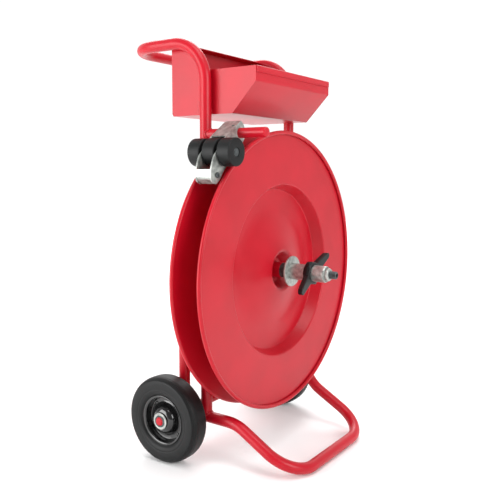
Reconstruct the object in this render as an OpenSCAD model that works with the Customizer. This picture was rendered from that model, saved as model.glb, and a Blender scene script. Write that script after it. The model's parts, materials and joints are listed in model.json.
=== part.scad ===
/* [Frame tube] */
// Outside diameter of the bent frame tube
tube_d = 26; // [24:1:27]
// Wall thickness of the frame tube
tube_wall = 2; // [1.5:0.5:3]
// Distance between the centre lines of the two uprights
upright_span = 350; // [340:5:370]
// Height of the handle's centre line above the floor
handle_z = 949; // [940:1:990]
// Distance of the handle bar behind the uprights
handle_reach = 238; // [225:1:260]
// Bend radius of the handle tube, at the uprights and at the corners
handle_bend = 89; // [80:1:95]
// Length of the foot bar's two sloping legs
foot_leg = 176; // [168:1:190]
// Bend radius of the foot bar's corners
foot_bend = 80; // [70:1:85]

/* [Wheels] */
// Outside diameter of the tyres
wheel_d = 200; // [190:1:204]
// Width of the tyres
tyre_w = 52; // [46:1:54]
// Distance from the cart's middle to the middle of each wheel
wheel_offset = 236; // [234:1:250]
// Diameter of the wheel axle
axle_d = 20; // [16:1:20]
// Distance of the wheel axle behind the uprights
axle_back = 66; // [60:1:75]

/* [Reel] */
// Outside diameter of the two flanges over their curled rims
flange_d = 660; // [640:2:660]
// Clear width between the two flanges
reel_gap = 62.5; // [60:0.5:64]
// Largest diameter of the dished core, which centres a coil of 406 mm inner diameter
core_d = 412; // [400:1:412]
// Depth of each flange's dish
dish_depth = 29; // [26:0.5:29]
// Sheet thickness of the flanges
flange_t = 1.5; // [1:0.25:2]
// Height of the reel's axis above the floor
spindle_z = 430; // [430:1:440]
// Outside diameter of the hub tube
hub_d = 35; // [34:0.5:36]

/* [Tool box] */
// Height of the tool box floor
box_floor_z = 790; // [785:1:800]
// Height of the front lip's top edge
box_lip_z = 887; // [880:1:900]
// Height of the back wall's top flange
box_back_z = 951; // [945:1:955]
// Sheet thickness of the tool box
box_t = 2; // [1.5:0.5:2.5]

/* [Brake lever] */
// Diameter of the three rubber rollers
roller_d = 59; // [57:1:59]
// Width of each roller
roller_w = 31; // [28:1:31]
// Gap between two rollers, which holds a side plate of the lever
roller_gap = 7.5; // [6.5:0.5:8]
// Diameter of the bar that the lever hangs on
bar_d = 22; // [20:1:22]

/* [Hidden] */
$fn = 96;

fit = 0.05;            // radial clearance of a running fit
gap = 0.3;             // clearance between parts that move past each other
tube_r = tube_d / 2;
bore_r = tube_r - tube_wall;
half_span = upright_span / 2;
wheel_r = wheel_d / 2;
axle_r = axle_d / 2;
axle_z = wheel_r;      // the axle runs through the two foot rails

foot_drop_y = 85;      // where the foot rails end and the foot bar drops, in front of the uprights
foot_end_y = 84;       // the rails' rear ends
foot_tilt = asin((axle_z - tube_r) / foot_leg);
strut_top_z = 466;
strut_bend = 48;

reel_mid = 64.5;       // the reel's middle, in front of the uprights
core_r = core_d / 2;
flange_r = flange_d / 2;
curl_r = 4.8;          // outer radius of the flange's curled rim
curl_opening = 40;     // angle that the curl leaves open, next to the plate
cone_r = 146;          // where the flat bottom of the dish meets the cone
crest_r = 46;          // the cone's crest, before it is rounded
crater_r = 30;
hub_r = hub_d / 2;
hub_back = 19;         // the hub tube's two ends, in front of the uprights
hub_front = 213;
hub_bore_r = hub_r - 3;
hub_bush_len = 24;
collar_r = 18.9;
collar_len = 29;
spindle_r = 10;
spindle_tip = 240;
tip_start = 223;       // where the spindle steps down to its free end
tip_r = 9;
beam_w = 25;
beam_h = 50;
beam_wall = 3;
clamp_back = 119;      // rear face of the clamping washer
clamp_washer_r = 36;
clamp_washer_t = 4;
clamp_sleeve_r = 19.2;
clamp_sleeve_end = 215;
nut_back = 165;
nut_front = 183;
nut_ring_r = 27;
wing_angle = 32;
wing_reach = 75;
wing_tip_r = 7.5;
wing_sweep = 8;        // how far the wing tips lie in front of the ring's middle
lobe_reach = 31;
ring_nut_r = 15;

hub_nose = 23;         // outer end of the wheel's hub, from the wheel's middle
rim_bead_r = 58;
rim_t = 1.5;
wheel_hub_r = 16.8;
wheel_bush_r = 14;
rivet_ring_r = 44;

box_gap = 1;           // gap between a side panel and its upright, which the welds close
box_half_w = half_span - tube_r - box_gap;
box_back_y = 109;
box_floor_front = 62;  // front edge of the box's floor, in front of the uprights
box_lip_front = 124;
box_lip_low_z = 855;
box_hem = 13;
box_flange_w = 31;
box_step_y = 10;       // where the side panels' upper edge starts to follow the bend of the uprights
weld_r = 2.8;
weld_len = 11;

bar_z = 746;
bar_r = bar_d / 2;
bar_front = 158;
bar_cap_len = 6;
roller_r = roller_d / 2;
roller_offset = 233;   // the roller axle's distance from the cart's middle
roller_contact = flange_r + roller_r + gap;
roller_z = spindle_z + sqrt(pow(roller_contact, 2) - pow(roller_offset, 2));
roller_pitch = roller_w + roller_gap;
roller_mid = 73;       // the middle roller, in front of the uprights
roller_axle_r = 6;
recess_r = 10;
lever_t = 3;
reel_clear_r = flange_r + 3;
guide_pin_at = [-256, 657];
guide_pin_r = 4;

function unit(v) = v / norm(v);
function reversed(list) = [for (i = [len(list) - 1:-1:0]) list[i]];

// Corner p between a and b, rounded to radius r in n steps.
function rounded_corner(a, p, b, r, n) =
    let (
        u = unit(a - p),
        v = unit(b - p),
        half = acos(u * v) / 2,
        start = p + u * r / tan(half),
        centre = p + unit(u + v) * r / sin(half),
        sweep = 180 - 2 * half
    )
    [for (k = [0:n]) centre + cos(sweep * k / n) * (start - centre) - sin(sweep * k / n) * r * u];

// An open path whose inner corners are rounded, points[i] to radii[i].
function rounded_path(points, radii, n = 6) = [
    points[0],
    for (i = [1:len(points) - 2])
        for (q = rounded_corner(points[i - 1], points[i], points[i + 1], radii[i], n)) q,
    points[len(points) - 1]
];

// A closed outline with every corner rounded to radius r.
function closed_path(points, r, n = 4) =
    let (count = len(points))
    [for (i = [0:count - 1])
        for (q = rounded_corner(points[(i + count - 1) % count], points[i], points[(i + 1) % count], r, n))
            q];

function arc(centre, r, from, to, n) =
    [for (k = [0:n]) let (a = from + (to - from) * k / n) centre + r * [cos(a), sin(a)]];

function left_normal(a, b) = let (d = unit(b - a)) [-d[1], d[0]];

// The same path moved to its left by t, with mitred corners.
function moved_path(points, t) =
    let (last = len(points) - 1)
    [for (i = [0:last])
        let (
            m = left_normal(points[max(i - 1, 0)], points[max(i, 1)]),
            n = left_normal(points[min(i, last - 1)], points[min(i + 1, last)]),
            s = unit(m + n)
        )
        points[i] + s * t / (s * n)
    ];

// The section of a folded sheet of thickness t, on the left of an open path.
module sheet_section(points, t) {
    polygon(concat(points, reversed(moved_path(points, t))));
}

// Puts +Z along direction d and +X towards side, at point p.
module aim(p, d, side) {
    z = unit(d);
    x = unit(side - (side * z) * z);
    y = cross(z, x);
    multmatrix([
        [x[0], y[0], z[0], p[0]],
        [x[1], y[1], z[1], p[1]],
        [x[2], y[2], z[2], p[2]],
        [0, 0, 0, 1]
    ]) children();
}

// The length that the bend at point i takes from the straight pieces beside it.
function bend_cut(points, radii, i) =
    (i == 0 || i == len(points) - 1) ? 0 :
    let (u = unit(points[i - 1] - points[i]), v = unit(points[i + 1] - points[i]))
    radii[i] / tan(acos(u * v) / 2);

// A solid rod of radius r along points, bent to radii[i] at each inner point.
module bent_rod(points, radii, r, overrun = 0) {
    last = len(points) - 1;
    for (i = [0:last - 1]) {
        d = unit(points[i + 1] - points[i]);
        from = bend_cut(points, radii, i) - (i == 0 ? overrun : 0);
        to = norm(points[i + 1] - points[i]) - bend_cut(points, radii, i + 1)
            + (i == last - 1 ? overrun : 0);
        side = abs(d[0]) > 0.9 ? [0, 0, 1] : [1, 0, 0];
        aim(points[i] + d * from, d, side) cylinder(r = r, h = to - from);
    }
    for (i = [1:last - 1]) {
        u = unit(points[i - 1] - points[i]);
        v = unit(points[i + 1] - points[i]);
        half = acos(u * v) / 2;
        centre = points[i] + unit(u + v) * radii[i] / sin(half);
        start = points[i] + u * radii[i] / tan(half) - centre;
        aim(centre, cross(u, start), start)
            rotate_extrude(angle = 180 - 2 * half) translate([radii[i], 0]) circle(r = r);
    }
}

module bent_tube(points, radii) {
    difference() {
        bent_rod(points, radii, tube_r);
        bent_rod(points, radii, bore_r, 1);
    }
}

// On the reel's axis, with +Z forwards, so that a height is a distance in front of the uprights.
module on_spindle() {
    translate([0, 0, spindle_z]) rotate([90, 0, 0]) children();
}

module on_bar() {
    translate([-half_span, 0, bar_z]) rotate([90, 0, 0]) children();
}

module on_roller_axle() {
    translate([-roller_offset, 0, roller_z]) rotate([90, 0, 0]) children();
}

// At a wheel's middle, with +Z towards its outer face, on the left (side -1) or the right (side 1).
module on_wheel(side) {
    translate([side * wheel_offset, axle_back, axle_z]) rotate([0, side * 90, 0]) children();
}

module both_sides() {
    children();
    mirror([1, 0, 0]) children();
}

module ring(outer, inner, from, to) {
    translate([0, 0, from]) difference() {
        cylinder(r = outer, h = to - from);
        translate([0, 0, -1]) cylinder(r = inner, h = to - from + 2);
    }
}

// ---- frame ----

main_path = [
    [-half_span, 0, axle_z], [-half_span, 0, handle_z],
    [-half_span, handle_reach, handle_z], [half_span, handle_reach, handle_z],
    [half_span, 0, handle_z], [half_span, 0, axle_z]
];

module main_tube() {
    color("crimson") difference() {
        bent_tube(main_path, [for (p = main_path) handle_bend]);
        both_sides() translate([-half_span, -40, axle_z]) rotate([-90, 0, 0])
            cylinder(r = tube_r + fit, h = 80);
    }
}

// The level tube that an upright stands on. The axle goes through it, and its front end is mitred.
module foot_rail() {
    difference() {
        translate([-half_span, foot_end_y, axle_z]) rotate([90, 0, 0])
            ring(tube_r, bore_r, 0, foot_end_y + foot_drop_y + tube_r);
        translate([-wheel_offset, axle_back, axle_z]) rotate([0, 90, 0])
            cylinder(r = axle_r + fit, h = wheel_offset);
        at_mitre() translate([-tube_d, -2 * tube_d, -tube_d]) cube(2 * tube_d);
    }
}

// The mitre plane where the rail meets the foot bar, with the rail behind it.
module at_mitre() {
    translate([-half_span, -foot_drop_y, axle_z]) rotate([foot_tilt / 2, 0, 0]) children();
}

module left_foot_rail() {
    color("crimson") foot_rail();
}

module right_foot_rail() {
    color("crimson") mirror([1, 0, 0]) foot_rail();
}

// The U-shaped bar that slopes down from the two rails and rests on the floor.
module foot_bar() {
    color("crimson") difference() {
        translate([0, -foot_drop_y, axle_z]) rotate([foot_tilt, 0, 0]) bent_tube([
            [-half_span, tube_r, 0], [-half_span, -foot_leg, 0],
            [half_span, -foot_leg, 0], [half_span, tube_r, 0]
        ], [0, foot_bend, foot_bend, 0]);
        both_sides() at_mitre() translate([-tube_d, -fit, -tube_d]) cube(2 * tube_d);
    }
}

strut_path = [
    [-half_span, 0, strut_top_z], [-half_span, axle_back, strut_top_z], [-half_span, axle_back, axle_z]
];

module strut() {
    difference() {
        bent_tube(strut_path, [0, strut_bend, 0]);
        translate([-half_span, 0, strut_top_z - 40]) cylinder(r = tube_r + fit, h = 80);
        translate([-half_span, axle_back - 40, axle_z]) rotate([-90, 0, 0])
            cylinder(r = tube_r + fit, h = 80);
        translate([-wheel_offset, axle_back, axle_z]) rotate([0, 90, 0])
            cylinder(r = axle_r + fit, h = wheel_offset);
    }
}

module left_strut() {
    color("crimson") strut();
}

module right_strut() {
    color("crimson") mirror([1, 0, 0]) strut();
}

module tube_end_plugs() {
    color("black") both_sides() translate([-half_span, foot_end_y, axle_z]) rotate([-90, 0, 0]) {
        translate([0, 0, gap]) cylinder(r = tube_r, h = 3);
        translate([0, 0, -6]) cylinder(r = bore_r - fit, h = 7);
    }
}

// The box section that carries the spindle between the uprights.
module spindle_beam() {
    color("crimson") difference() {
        translate([-half_span, -beam_w / 2, spindle_z - beam_h / 2])
            cube([upright_span, beam_w, beam_h]);
        translate([-half_span - 1, -beam_w / 2 + beam_wall, spindle_z - beam_h / 2 + beam_wall])
            cube([upright_span + 2, beam_w - 2 * beam_wall, beam_h - 2 * beam_wall]);
        both_sides() {
            translate([-half_span, 0, spindle_z - beam_h]) cylinder(r = tube_r + fit, h = 2 * beam_h);
            translate([-half_span, 0, strut_top_z]) rotate([-90, 0, 0])
                cylinder(r = tube_r + fit, h = beam_w);
        }
        on_spindle() translate([0, 0, -beam_w]) cylinder(r = spindle_r + fit, h = 2 * beam_w);
    }
}

module spindle_bar() {
    back = beam_w / 2 + 22;
    color("silver") on_spindle() difference() {
        union() {
            translate([0, 0, -back]) cylinder(r = spindle_r, h = back + tip_start);
            translate([0, 0, tip_start]) cylinder(r = tip_r, h = spindle_tip - 2 - tip_start);
            translate([0, 0, spindle_tip - 2]) cylinder(r1 = tip_r, r2 = tip_r - 2, h = 2);
        }
        translate([0, 0, spindle_tip - 8]) cylinder(r = 5, h = 9);
    }
}

module spindle_rear_nut() {
    color("silver") on_spindle() difference() {
        translate([0, 0, -beam_w / 2 - 16]) cylinder(r = 17, h = 16, $fn = 6);
        translate([0, 0, -beam_w / 2 - 17]) cylinder(r = spindle_r + fit, h = 18);
    }
}

module rear_thrust_washer() {
    color("silver") on_spindle() ring(17, spindle_r + fit, beam_w / 2, hub_back - gap);
}

module front_thrust_washer() {
    color("silver") on_spindle()
        ring(hub_r - 1, spindle_r + fit, hub_front + gap, hub_front + 2);
}

// The slotted nut that keeps the reel on its spindle.
module spindle_ring_nut() {
    color("silver") on_spindle() difference() {
        translate([0, 0, hub_front + 2]) cylinder(r = ring_nut_r, h = 8);
        translate([0, 0, hub_front + 1]) cylinder(r = spindle_r + fit, h = 10);
        for (a = [0, 90]) rotate(a)
            translate([-ring_nut_r - 1, -1.5, hub_front + 8]) cube([2 * ring_nut_r + 2, 3, 3]);
    }
}

// ---- wheels ----

module wheel_axle() {
    length = 2 * (wheel_offset + hub_nose + 8);
    color("crimson") translate([-length / 2, axle_back, axle_z]) rotate([0, 90, 0]) {
        translate([0, 0, 1]) cylinder(r = axle_r, h = length - 2);
        cylinder(r1 = axle_r - 1, r2 = axle_r, h = 1);
        translate([0, 0, length - 1]) cylinder(r1 = axle_r, r2 = axle_r - 1, h = 1);
    }
}

module wheel_spacers() {
    color("silver") both_sides() on_wheel(-1)
        ring(wheel_bush_r, axle_r + fit, -(wheel_offset - half_span - tube_r - gap), -hub_nose - 2);
}

module wheel_washers() {
    color("silver") both_sides() on_wheel(-1)
        ring(19, axle_r + fit, hub_nose + 1.8, hub_nose + 4.2);
}

module wheel_snap_rings() {
    color("dimgray") both_sides() on_wheel(-1)
        ring(13.5, axle_r + fit, hub_nose + 4.2, hub_nose + 5.7);
}

module tyre(side) {
    seat_r = 53.8;
    half_seat = 16.2;
    half_w = tyre_w / 2;
    half = rounded_path(
        [[seat_r, 0], [seat_r, half_seat], [rim_bead_r + 0.3, half_seat + 2.4],
            [rim_bead_r + 6, half_w - 2], [wheel_r - 26, half_w], [wheel_r - 3, half_w - 1.5],
            [wheel_r, half_w * 0.45], [wheel_r, 0]],
        [0, 0.5, 1.5, 5, 20, 9, 30, 0]
    );
    color("dimgray") on_wheel(side) rotate_extrude()
        polygon(concat(half, reversed([for (p = half) if (p[1] > 0) [p[0], -p[1]]])));
}

// One pressed half of a rim, from the hub over the flat joint to the bead.
module rim_half(side, face) {
    section = rounded_path(
        [[wheel_hub_r + fit, 21.4], [24, 21.4], [36, fit], [50.5, fit], [53.6, 16.6],
            [rim_bead_r, 19]],
        [0, 5, 7, 3, 2, 0]
    );
    on_wheel(side) mirror([0, 0, face < 0 ? 1 : 0]) difference() {
        rotate_extrude() sheet_section(section, rim_t);
        for (a = [45:90:315]) rotate(a) translate([rivet_ring_r, 0, -1]) cylinder(r = 2.5 + fit, h = 4);
    }
}

module rim_rivets(side) {
    head = rim_t + fit;
    on_wheel(side) for (a = [45:90:315]) rotate(a) translate([rivet_ring_r, 0, 0]) {
        translate([0, 0, -head - 0.5]) cylinder(r = 2.5, h = 2 * head + 1);
        translate([0, 0, head]) cylinder(r1 = 4, r2 = 2.5, h = 2);
        translate([0, 0, -head - 2]) cylinder(r1 = 2.5, r2 = 4, h = 2);
    }
}

module wheel_hub(side) {
    on_wheel(side) ring(wheel_hub_r, wheel_bush_r + fit, -hub_nose, hub_nose);
}

// A flanged bush in each end of the wheel's hub.
module wheel_bushes(side) {
    on_wheel(side) for (face = [0, 1]) mirror([0, 0, face]) difference() {
        union() {
            translate([0, 0, hub_nose - 14]) cylinder(r = wheel_bush_r, h = 14.5);
            translate([0, 0, hub_nose + fit]) cylinder(r = wheel_hub_r, h = 1.5);
        }
        cylinder(r = axle_r + fit, h = hub_nose + 3);
    }
}

module left_tyre() { tyre(-1); }
module left_outer_rim() { color("black") rim_half(-1, 1); }
module left_inner_rim() { color("black") rim_half(-1, -1); }
module left_rim_rivets() { color("black") rim_rivets(-1); }
module left_wheel_hub() { color("black") wheel_hub(-1); }
module left_wheel_bushes() { color("gray") wheel_bushes(-1); }
module right_tyre() { tyre(1); }
module right_outer_rim() { color("black") rim_half(1, 1); }
module right_inner_rim() { color("black") rim_half(1, -1); }
module right_rim_rivets() { color("black") rim_rivets(1); }
module right_wheel_hub() { color("black") wheel_hub(1); }
module right_wheel_bushes() { color("gray") wheel_bushes(1); }

// ---- tool box ----

// The folded sheet between the side panels: hem, lip, slope, floor, back and top flange.
module box_tray() {
    hem_y = -box_lip_front - box_t - 0.2;
    section = [
        [hem_y, box_lip_z - box_hem], [hem_y, box_lip_z], [-box_lip_front, box_lip_z],
        [-box_lip_front, box_lip_low_z], [-box_floor_front, box_floor_z],
        [box_back_y, box_floor_z], [box_back_y, box_back_z],
        [box_back_y - box_flange_w, box_back_z]
    ];
    width = 2 * (box_half_w - box_t - fit);
    folded = [for (i = [2:len(section) - 1]) section[i]];
    color("crimson") translate([-width / 2, 0, 0]) rotate([90, 0, 90]) linear_extrude(width) {
        sheet_section(folded, box_t);
        translate([hem_y, box_lip_z - box_hem]) square([box_t, box_hem]);
        translate([hem_y, box_lip_z - box_t]) square([box_t + 1, box_t]);
    }
}

module box_side() {
    outline = [
        [-box_lip_front, box_lip_z], [-box_lip_front, box_lip_low_z], [-box_floor_front, box_floor_z],
        [box_back_y - 5, box_floor_z], [box_back_y, box_floor_z + 5], [box_back_y, box_back_z],
        for (a = [5:10:55]) [handle_bend * (1 - sin(a)), handle_z - handle_bend * (1 - cos(a))],
        [box_step_y, box_lip_z]
    ];
    translate([-box_half_w, 0, 0]) rotate([90, 0, 90]) linear_extrude(box_t) polygon(outline);
}

module box_left_side() {
    color("crimson") box_side();
}

module box_right_side() {
    color("crimson") mirror([1, 0, 0]) box_side();
}

module box_welds() {
    color("crimson") both_sides() difference() {
        for (at = [[0, box_floor_z + 0.5], [3.5, box_lip_z - 8]], y = [-6, 6])
            translate([-half_span + tube_r - 1, at[0] + y, at[1]]) cylinder(r = weld_r, h = weld_len);
        translate([-half_span, 0, axle_z]) cylinder(r = tube_r + fit, h = handle_z - handle_bend - axle_z);
        translate([-half_span, handle_bend, handle_z - handle_bend]) rotate([0, 90, 0])
            rotate_extrude() translate([handle_bend, 0]) circle(r = tube_r + fit);
        translate([-box_half_w - fit, -20, box_floor_z - 1]) cube([10, 40, box_back_z - box_floor_z]);
    }
}

// ---- brake lever ----

module lever_bar() {
    color("crimson") difference() {
        on_bar() cylinder(r = bar_r, h = bar_front);
        translate([-half_span, 0, bar_z - 40]) cylinder(r = tube_r + fit, h = 80);
    }
}

module lever_bar_cap() {
    color("crimson") on_bar() translate([0, 0, bar_front]) rotate_extrude()
        polygon(concat([[0, 0]], arc([bar_r - 4, bar_cap_len - 4], 4, 0, 90, 8), [[0, bar_cap_len]],
            [[0, 0]]));
}

lever_outline = [
    [-171, 773], [-160, 762], [-156, 740], [-164, 728], [-235, 664], [-246, 648],
    [-259, 638], [-271, 641], [-276, 650], [-276, 669], [-267, 695], [-224, 738]
];

// Where a side plate runs through the gap behind (i = -1) or in front of (i = 1) the middle roller.
function plate_h(i) = roller_mid + i * roller_pitch / 2 - lever_t / 2;

module lever_plate() {
    difference() {
        linear_extrude(lever_t) polygon(closed_path(lever_outline, 3));
        translate([0, spindle_z, -1]) cylinder(r = reel_clear_r, h = lever_t + 2);
    }
}

// Two side plates that a sloped web joins at the top.
module lever_bracket() {
    hole_x = -189;
    hole_z = 760;
    color("silver") rotate([90, 0, 0]) difference() {
        union() {
            for (i = [-1, 1]) translate([0, 0, plate_h(i)]) lever_plate();
            translate([0, 0, plate_h(-1)]) linear_extrude(roller_pitch + lever_t)
                sheet_section([[-173, 770.5], [-222, 738.1]], lever_t);
        }
        translate([-half_span, bar_z, 0]) cylinder(r = bar_r + 3 + fit, h = 200);
        translate([-roller_offset, roller_z, 0]) cylinder(r = roller_axle_r + fit, h = 200);
        translate([guide_pin_at[0], guide_pin_at[1], 0]) cylinder(r = guide_pin_r + fit, h = 200);
        translate([hole_x, hole_z, roller_mid + 12.5]) rotate([-90, 0, 34]) translate([0, 0, -10])
            cylinder(r = 3.5, h = 20);
    }
}

module lever_sleeve() {
    color("silver") on_bar() ring(bar_r + 3, bar_r + fit, plate_h(-1), plate_h(1) + lever_t);
}

// The cross piece at the lever's end, under which the strap runs.
module strap_guide() {
    color("silver") rotate([90, 0, 0]) translate([0, 0, plate_h(-1) + lever_t + fit])
        linear_extrude(roller_pitch - lever_t - 2 * fit)
            sheet_section(rounded_path([[-275.5, 669], [-275.5, 650], [-257, 639.5]], [0, 8, 0]), 2.5);
}

module guide_pin() {
    color("dimgray") rotate([90, 0, 0]) translate([guide_pin_at[0], guide_pin_at[1], 0]) {
        translate([0, 0, plate_h(-1) - 2]) cylinder(r = guide_pin_r, h = roller_pitch + lever_t + 3);
        translate([0, 0, plate_h(1) + lever_t + fit]) cylinder(r = 6, h = 3);
    }
}

module roller_axle() {
    reach = roller_pitch + roller_w / 2 - gap;
    color("dimgray") on_roller_axle() translate([0, 0, roller_mid - reach])
        cylinder(r = roller_axle_r, h = 2 * reach);
}

module roller_snap_rings() {
    reach = roller_pitch + roller_w / 2;
    color("dimgray") on_roller_axle() for (h = [-reach + 1.2, reach - 2.4])
        ring(9, roller_axle_r + fit, roller_mid + h, roller_mid + h + 1.2);
}

// A solid rubber roller. Only the outer two have a recess, for the snap ring.
module roller(i) {
    edge = 2;
    half = roller_w / 2;
    outline = rounded_path(
        [[roller_axle_r + fit, -half], [roller_r, -half], [roller_r, half], [roller_axle_r + fit, half]],
        [0, edge, edge, 0]
    );
    color("dimgray") on_roller_axle() translate([0, 0, roller_mid + i * roller_pitch]) difference() {
        rotate_extrude() polygon(outline);
        if (i != 0) translate([0, 0, i * half - 3.5]) cylinder(r = recess_r, h = 7);
    }
}

module front_roller() { roller(1); }
module middle_roller() { roller(0); }
module rear_roller() { roller(-1); }

// ---- reel ----

// A pressed disc: crater, cone, flat dish, dish wall, plate and curled rim, for the front of the reel.
module flange() {
    plate_h = reel_mid + reel_gap / 2;
    floor_h = plate_h - dish_depth;
    curl_centre = [flange_r - curl_r, plate_h + curl_r];
    pressing = rounded_path(
        [[collar_r + fit, floor_h], [crater_r, floor_h], [crest_r, plate_h], [cone_r, floor_h],
            [core_r - 12, floor_h], [core_r, plate_h], [flange_r - curl_r - 1, plate_h]],
        [0, 4, 9, 40, 5, 5, 0]
    );
    color("crimson") rotate_extrude($fn = 180)
        sheet_section(concat(pressing, arc(curl_centre, curl_r, -90, 270 - curl_opening, 18)), flange_t);
}

// Turns a piece of the front flange into the rear flange's.
module behind_reel_middle() {
    translate([0, 0, 2 * reel_mid]) mirror([0, 0, 1]) children();
}

module flange_collar(inner) {
    floor_h = reel_mid + reel_gap / 2 - dish_depth;
    color("crimson") ring(collar_r, inner, floor_h, floor_h + collar_len);
}

module front_flange() { on_spindle() flange(); }
module front_flange_collar() { on_spindle() flange_collar(hub_r + fit); }
module rear_flange() { on_spindle() behind_reel_middle() flange(); }
module rear_flange_collar() { on_spindle() behind_reel_middle() flange_collar(hub_r + fit); }

module hub_tube() {
    color("dimgray") on_spindle() ring(hub_r, hub_bore_r, hub_back, hub_front);
}

module hub_bushes() {
    color("gray") on_spindle() {
        ring(hub_bore_r - fit, spindle_r + fit, hub_back, hub_back + hub_bush_len);
        ring(hub_bore_r - fit, spindle_r + fit, hub_front - hub_bush_len, hub_front);
    }
}

module clamp_washer() {
    color("silver") on_spindle()
        ring(clamp_washer_r, hub_r + fit, clamp_back, clamp_back + clamp_washer_t);
}

module clamp_sleeve() {
    from = clamp_back + clamp_washer_t + fit;
    chamfer = 1.3;
    color("silver") on_spindle() rotate_extrude() polygon([
        [hub_r + fit, from], [clamp_sleeve_r, from], [clamp_sleeve_r, clamp_sleeve_end - 3 * chamfer],
        [clamp_sleeve_r - chamfer, clamp_sleeve_end], [hub_r + fit, clamp_sleeve_end]
    ]);
}

// A moulded hand nut with two long wings and two short lobes.
module wing_nut() {
    h = nut_front - nut_back;
    tip = wing_reach - wing_tip_r;
    color("black") on_spindle() translate([0, 0, nut_back]) difference() {
        union() {
            cylinder(r = nut_ring_r, h = h);
            for (a = [wing_angle, wing_angle + 180]) rotate(a) {
                hull() {
                    translate([14, 0, 1]) cylinder(r = 14, h = h - 2, $fn = 32);
                    translate([tip, 0, wing_sweep + 2]) cylinder(r = wing_tip_r, h = h - 5, $fn = 32);
                }
                rotate(90) hull() {
                    translate([14, 0, 2]) cylinder(r = 12, h = h - 4, $fn = 32);
                    translate([lobe_reach - 6, 0, 2]) cylinder(r = 6, h = h - 4, $fn = 32);
                }
            }
        }
        translate([0, 0, -1]) cylinder(r = clamp_sleeve_r + fit / 2, h = h + 2);
        translate([0, 0, h]) cylinder(r = nut_ring_r, h = wing_sweep);
    }
}

main_tube();
left_foot_rail();
right_foot_rail();
foot_bar();
left_strut();
right_strut();
tube_end_plugs();
spindle_beam();
spindle_bar();
spindle_rear_nut();
rear_thrust_washer();
front_thrust_washer();
spindle_ring_nut();
wheel_axle();
wheel_spacers();
wheel_washers();
wheel_snap_rings();
left_tyre();
left_outer_rim();
left_inner_rim();
left_rim_rivets();
left_wheel_hub();
left_wheel_bushes();
right_tyre();
right_outer_rim();
right_inner_rim();
right_rim_rivets();
right_wheel_hub();
right_wheel_bushes();
box_tray();
box_left_side();
box_right_side();
box_welds();
lever_bar();
lever_bar_cap();
lever_bracket();
lever_sleeve();
strap_guide();
guide_pin();
roller_axle();
roller_snap_rings();
front_roller();
middle_roller();
rear_roller();
hub_tube();
hub_bushes();
rear_flange();
rear_flange_collar();
front_flange();
front_flange_collar();
clamp_washer();
clamp_sleeve();
wing_nut();
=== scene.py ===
import json
import math

import bmesh
import bpy
from mathutils import Matrix, Vector

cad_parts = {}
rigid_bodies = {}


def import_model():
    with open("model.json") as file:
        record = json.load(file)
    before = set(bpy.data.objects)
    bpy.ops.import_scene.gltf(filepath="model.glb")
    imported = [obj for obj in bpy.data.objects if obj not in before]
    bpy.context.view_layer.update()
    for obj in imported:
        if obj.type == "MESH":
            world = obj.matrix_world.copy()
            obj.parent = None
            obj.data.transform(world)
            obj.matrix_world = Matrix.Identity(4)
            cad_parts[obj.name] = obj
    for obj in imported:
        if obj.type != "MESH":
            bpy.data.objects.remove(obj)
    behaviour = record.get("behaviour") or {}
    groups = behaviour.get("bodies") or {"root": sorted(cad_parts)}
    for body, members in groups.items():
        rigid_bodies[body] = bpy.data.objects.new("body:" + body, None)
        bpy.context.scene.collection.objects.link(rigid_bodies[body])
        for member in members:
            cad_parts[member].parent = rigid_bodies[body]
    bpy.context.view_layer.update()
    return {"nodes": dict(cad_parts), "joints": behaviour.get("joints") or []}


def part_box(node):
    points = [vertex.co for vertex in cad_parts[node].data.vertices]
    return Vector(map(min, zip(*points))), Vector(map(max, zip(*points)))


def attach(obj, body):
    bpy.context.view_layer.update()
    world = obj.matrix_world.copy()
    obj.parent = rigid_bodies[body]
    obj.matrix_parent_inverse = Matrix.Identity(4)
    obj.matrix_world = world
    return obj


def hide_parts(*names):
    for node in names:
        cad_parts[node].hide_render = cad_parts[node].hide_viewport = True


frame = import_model()
mm = 0.001
joints = {joint["name"]: joint for joint in frame["joints"]}
print("frame loaded:", len(frame["nodes"]), "nodes")


# camera
cameraView = {
    "azimuth": -55.30,  # degrees round from the front, to the brake lever's side
    "elevation": 6.73,
    "roll": 0.23,
    "distance": 1.638,
    "aim": (-0.7, 471.9),  # mm to the right of the uprights' middle, and above the floor
    "lens": 47.66,
}


def placeCamera(view):
    turn, rise = math.radians(view["azimuth"]), math.radians(view["elevation"])
    back = Vector((math.sin(turn) * math.cos(rise), -math.cos(turn) * math.cos(rise), math.sin(rise)))
    right = Vector((0, 0, 1)).cross(back).normalized()
    target = right * view["aim"][0] * mm + Vector((0, 0, view["aim"][1] * mm))
    camera = bpy.data.objects.new("camera", bpy.data.cameras.new("camera"))
    bpy.context.scene.collection.objects.link(camera)
    camera.data.lens = view["lens"]
    camera.data.sensor_width = 36
    camera.data.clip_start = 0.05
    facing = Matrix((right, back.cross(right), back)).transposed()
    facing = facing @ Matrix.Rotation(math.radians(view["roll"]), 3, "Z")
    camera.matrix_world = Matrix.Translation(target + back * view["distance"]) @ facing.to_4x4()
    bpy.context.scene.camera = camera


placeCamera(cameraView)
print("camera placed")


# materials
def hexColour(text):
    # sRGB hex to linear
    values = [int(text[i:i + 2], 16) / 255 for i in (1, 3, 5)]
    return [v / 12.92 if v <= 0.04045 else ((v + 0.055) / 1.055) ** 2.4 for v in values] + [1.0]


def addNode(tree, kind, settings=None, links=None):
    node = tree.nodes.new(kind)
    for name, value in (settings or {}).items():
        if name in node.inputs:
            node.inputs[name].default_value = value
        else:
            setattr(node, name, value)
    for name, socket in (links or {}).items():
        tree.links.new(socket, node.inputs[name])
    return node


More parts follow.
